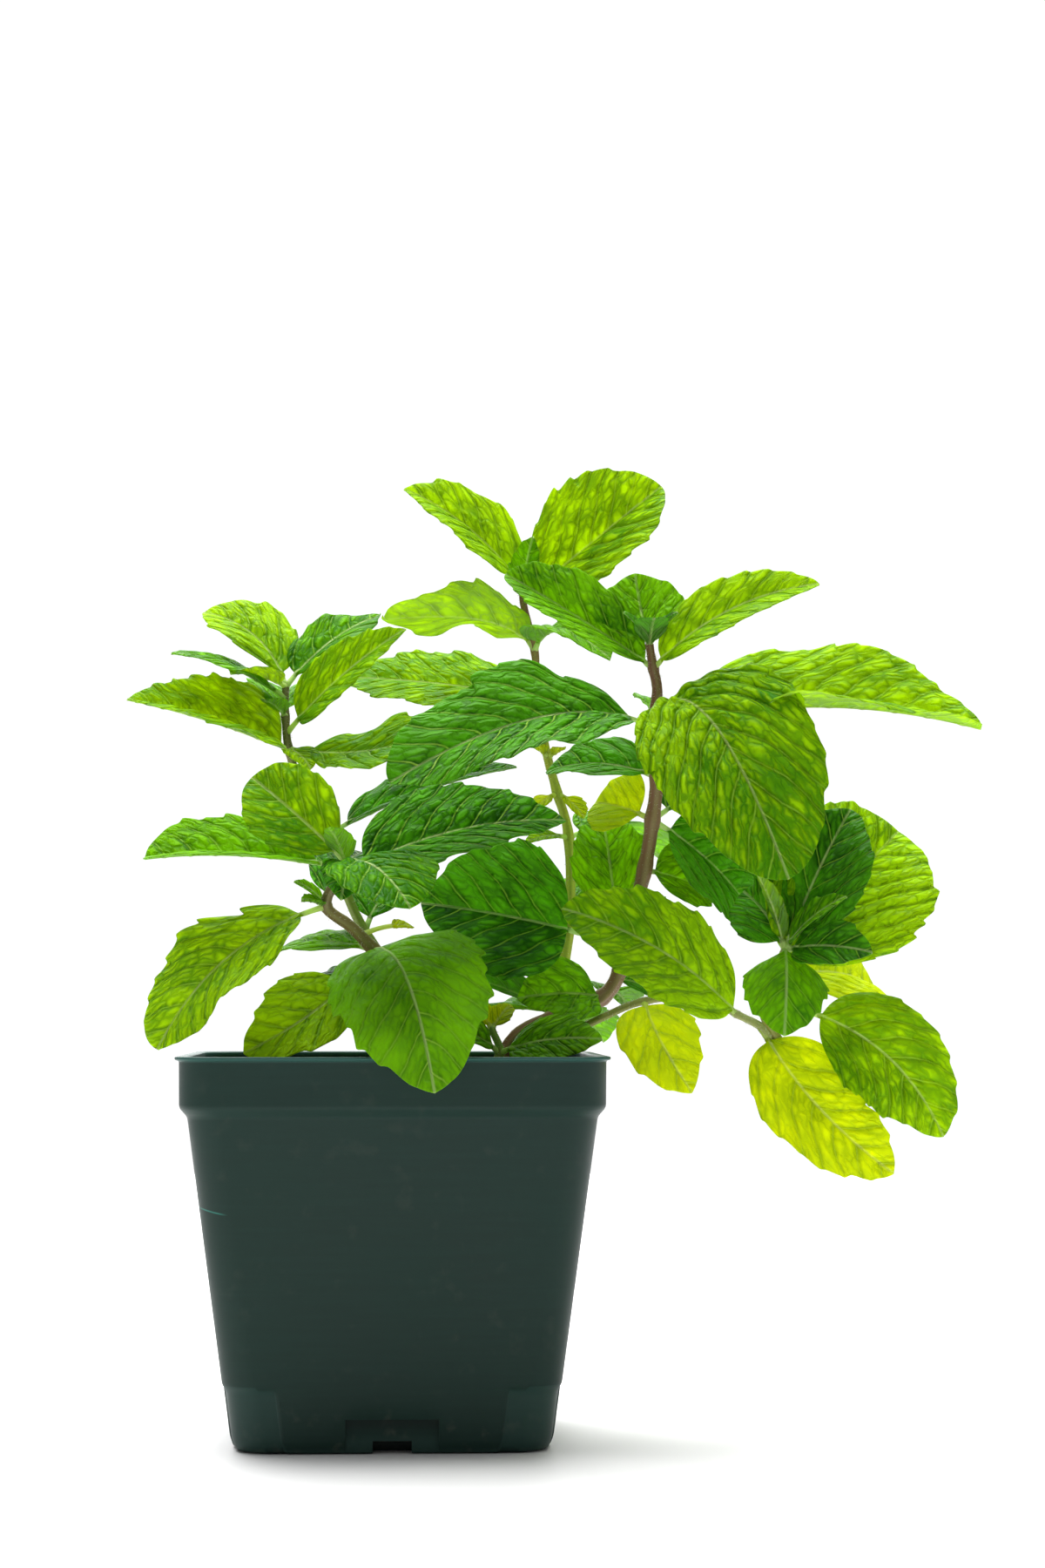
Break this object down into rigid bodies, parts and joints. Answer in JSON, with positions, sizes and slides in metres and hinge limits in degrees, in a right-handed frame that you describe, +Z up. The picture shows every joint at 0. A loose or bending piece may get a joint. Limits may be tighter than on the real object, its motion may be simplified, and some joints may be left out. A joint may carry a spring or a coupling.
{
  "type": "potted mint plant",
  "caption": "Leafy mint plant in a square plastic nursery pot, standing on the pot's flat underside.",
  "frame": {"origin": "centre of the pot's flat underside", "axes": "+Z up, -Y towards the viewer of the front, +X to the side that the thin stem hangs over"},
  "size_m": [0.2192, 0.1268, 0.2549],
  "materials": {
    "pot": "satin",
    "soil": "matte",
    "stem_tall": "satin",
    "stem_main": "satin",
    "stem_left": "satin",
    "stem_front": "satin",
    "stem_trailing": "satin",
    "stem_low": "satin"
  },
  "bodies": {
    "root": {"pot": "pot", "soil": "soil", "stem_tall": "stem_tall", "stem_main": "stem_main", "stem_left": "stem_left", "stem_front": "stem_front", "stem_trailing": "stem_trailing", "stem_low": "stem_low"}
  },
  "joints": []
}
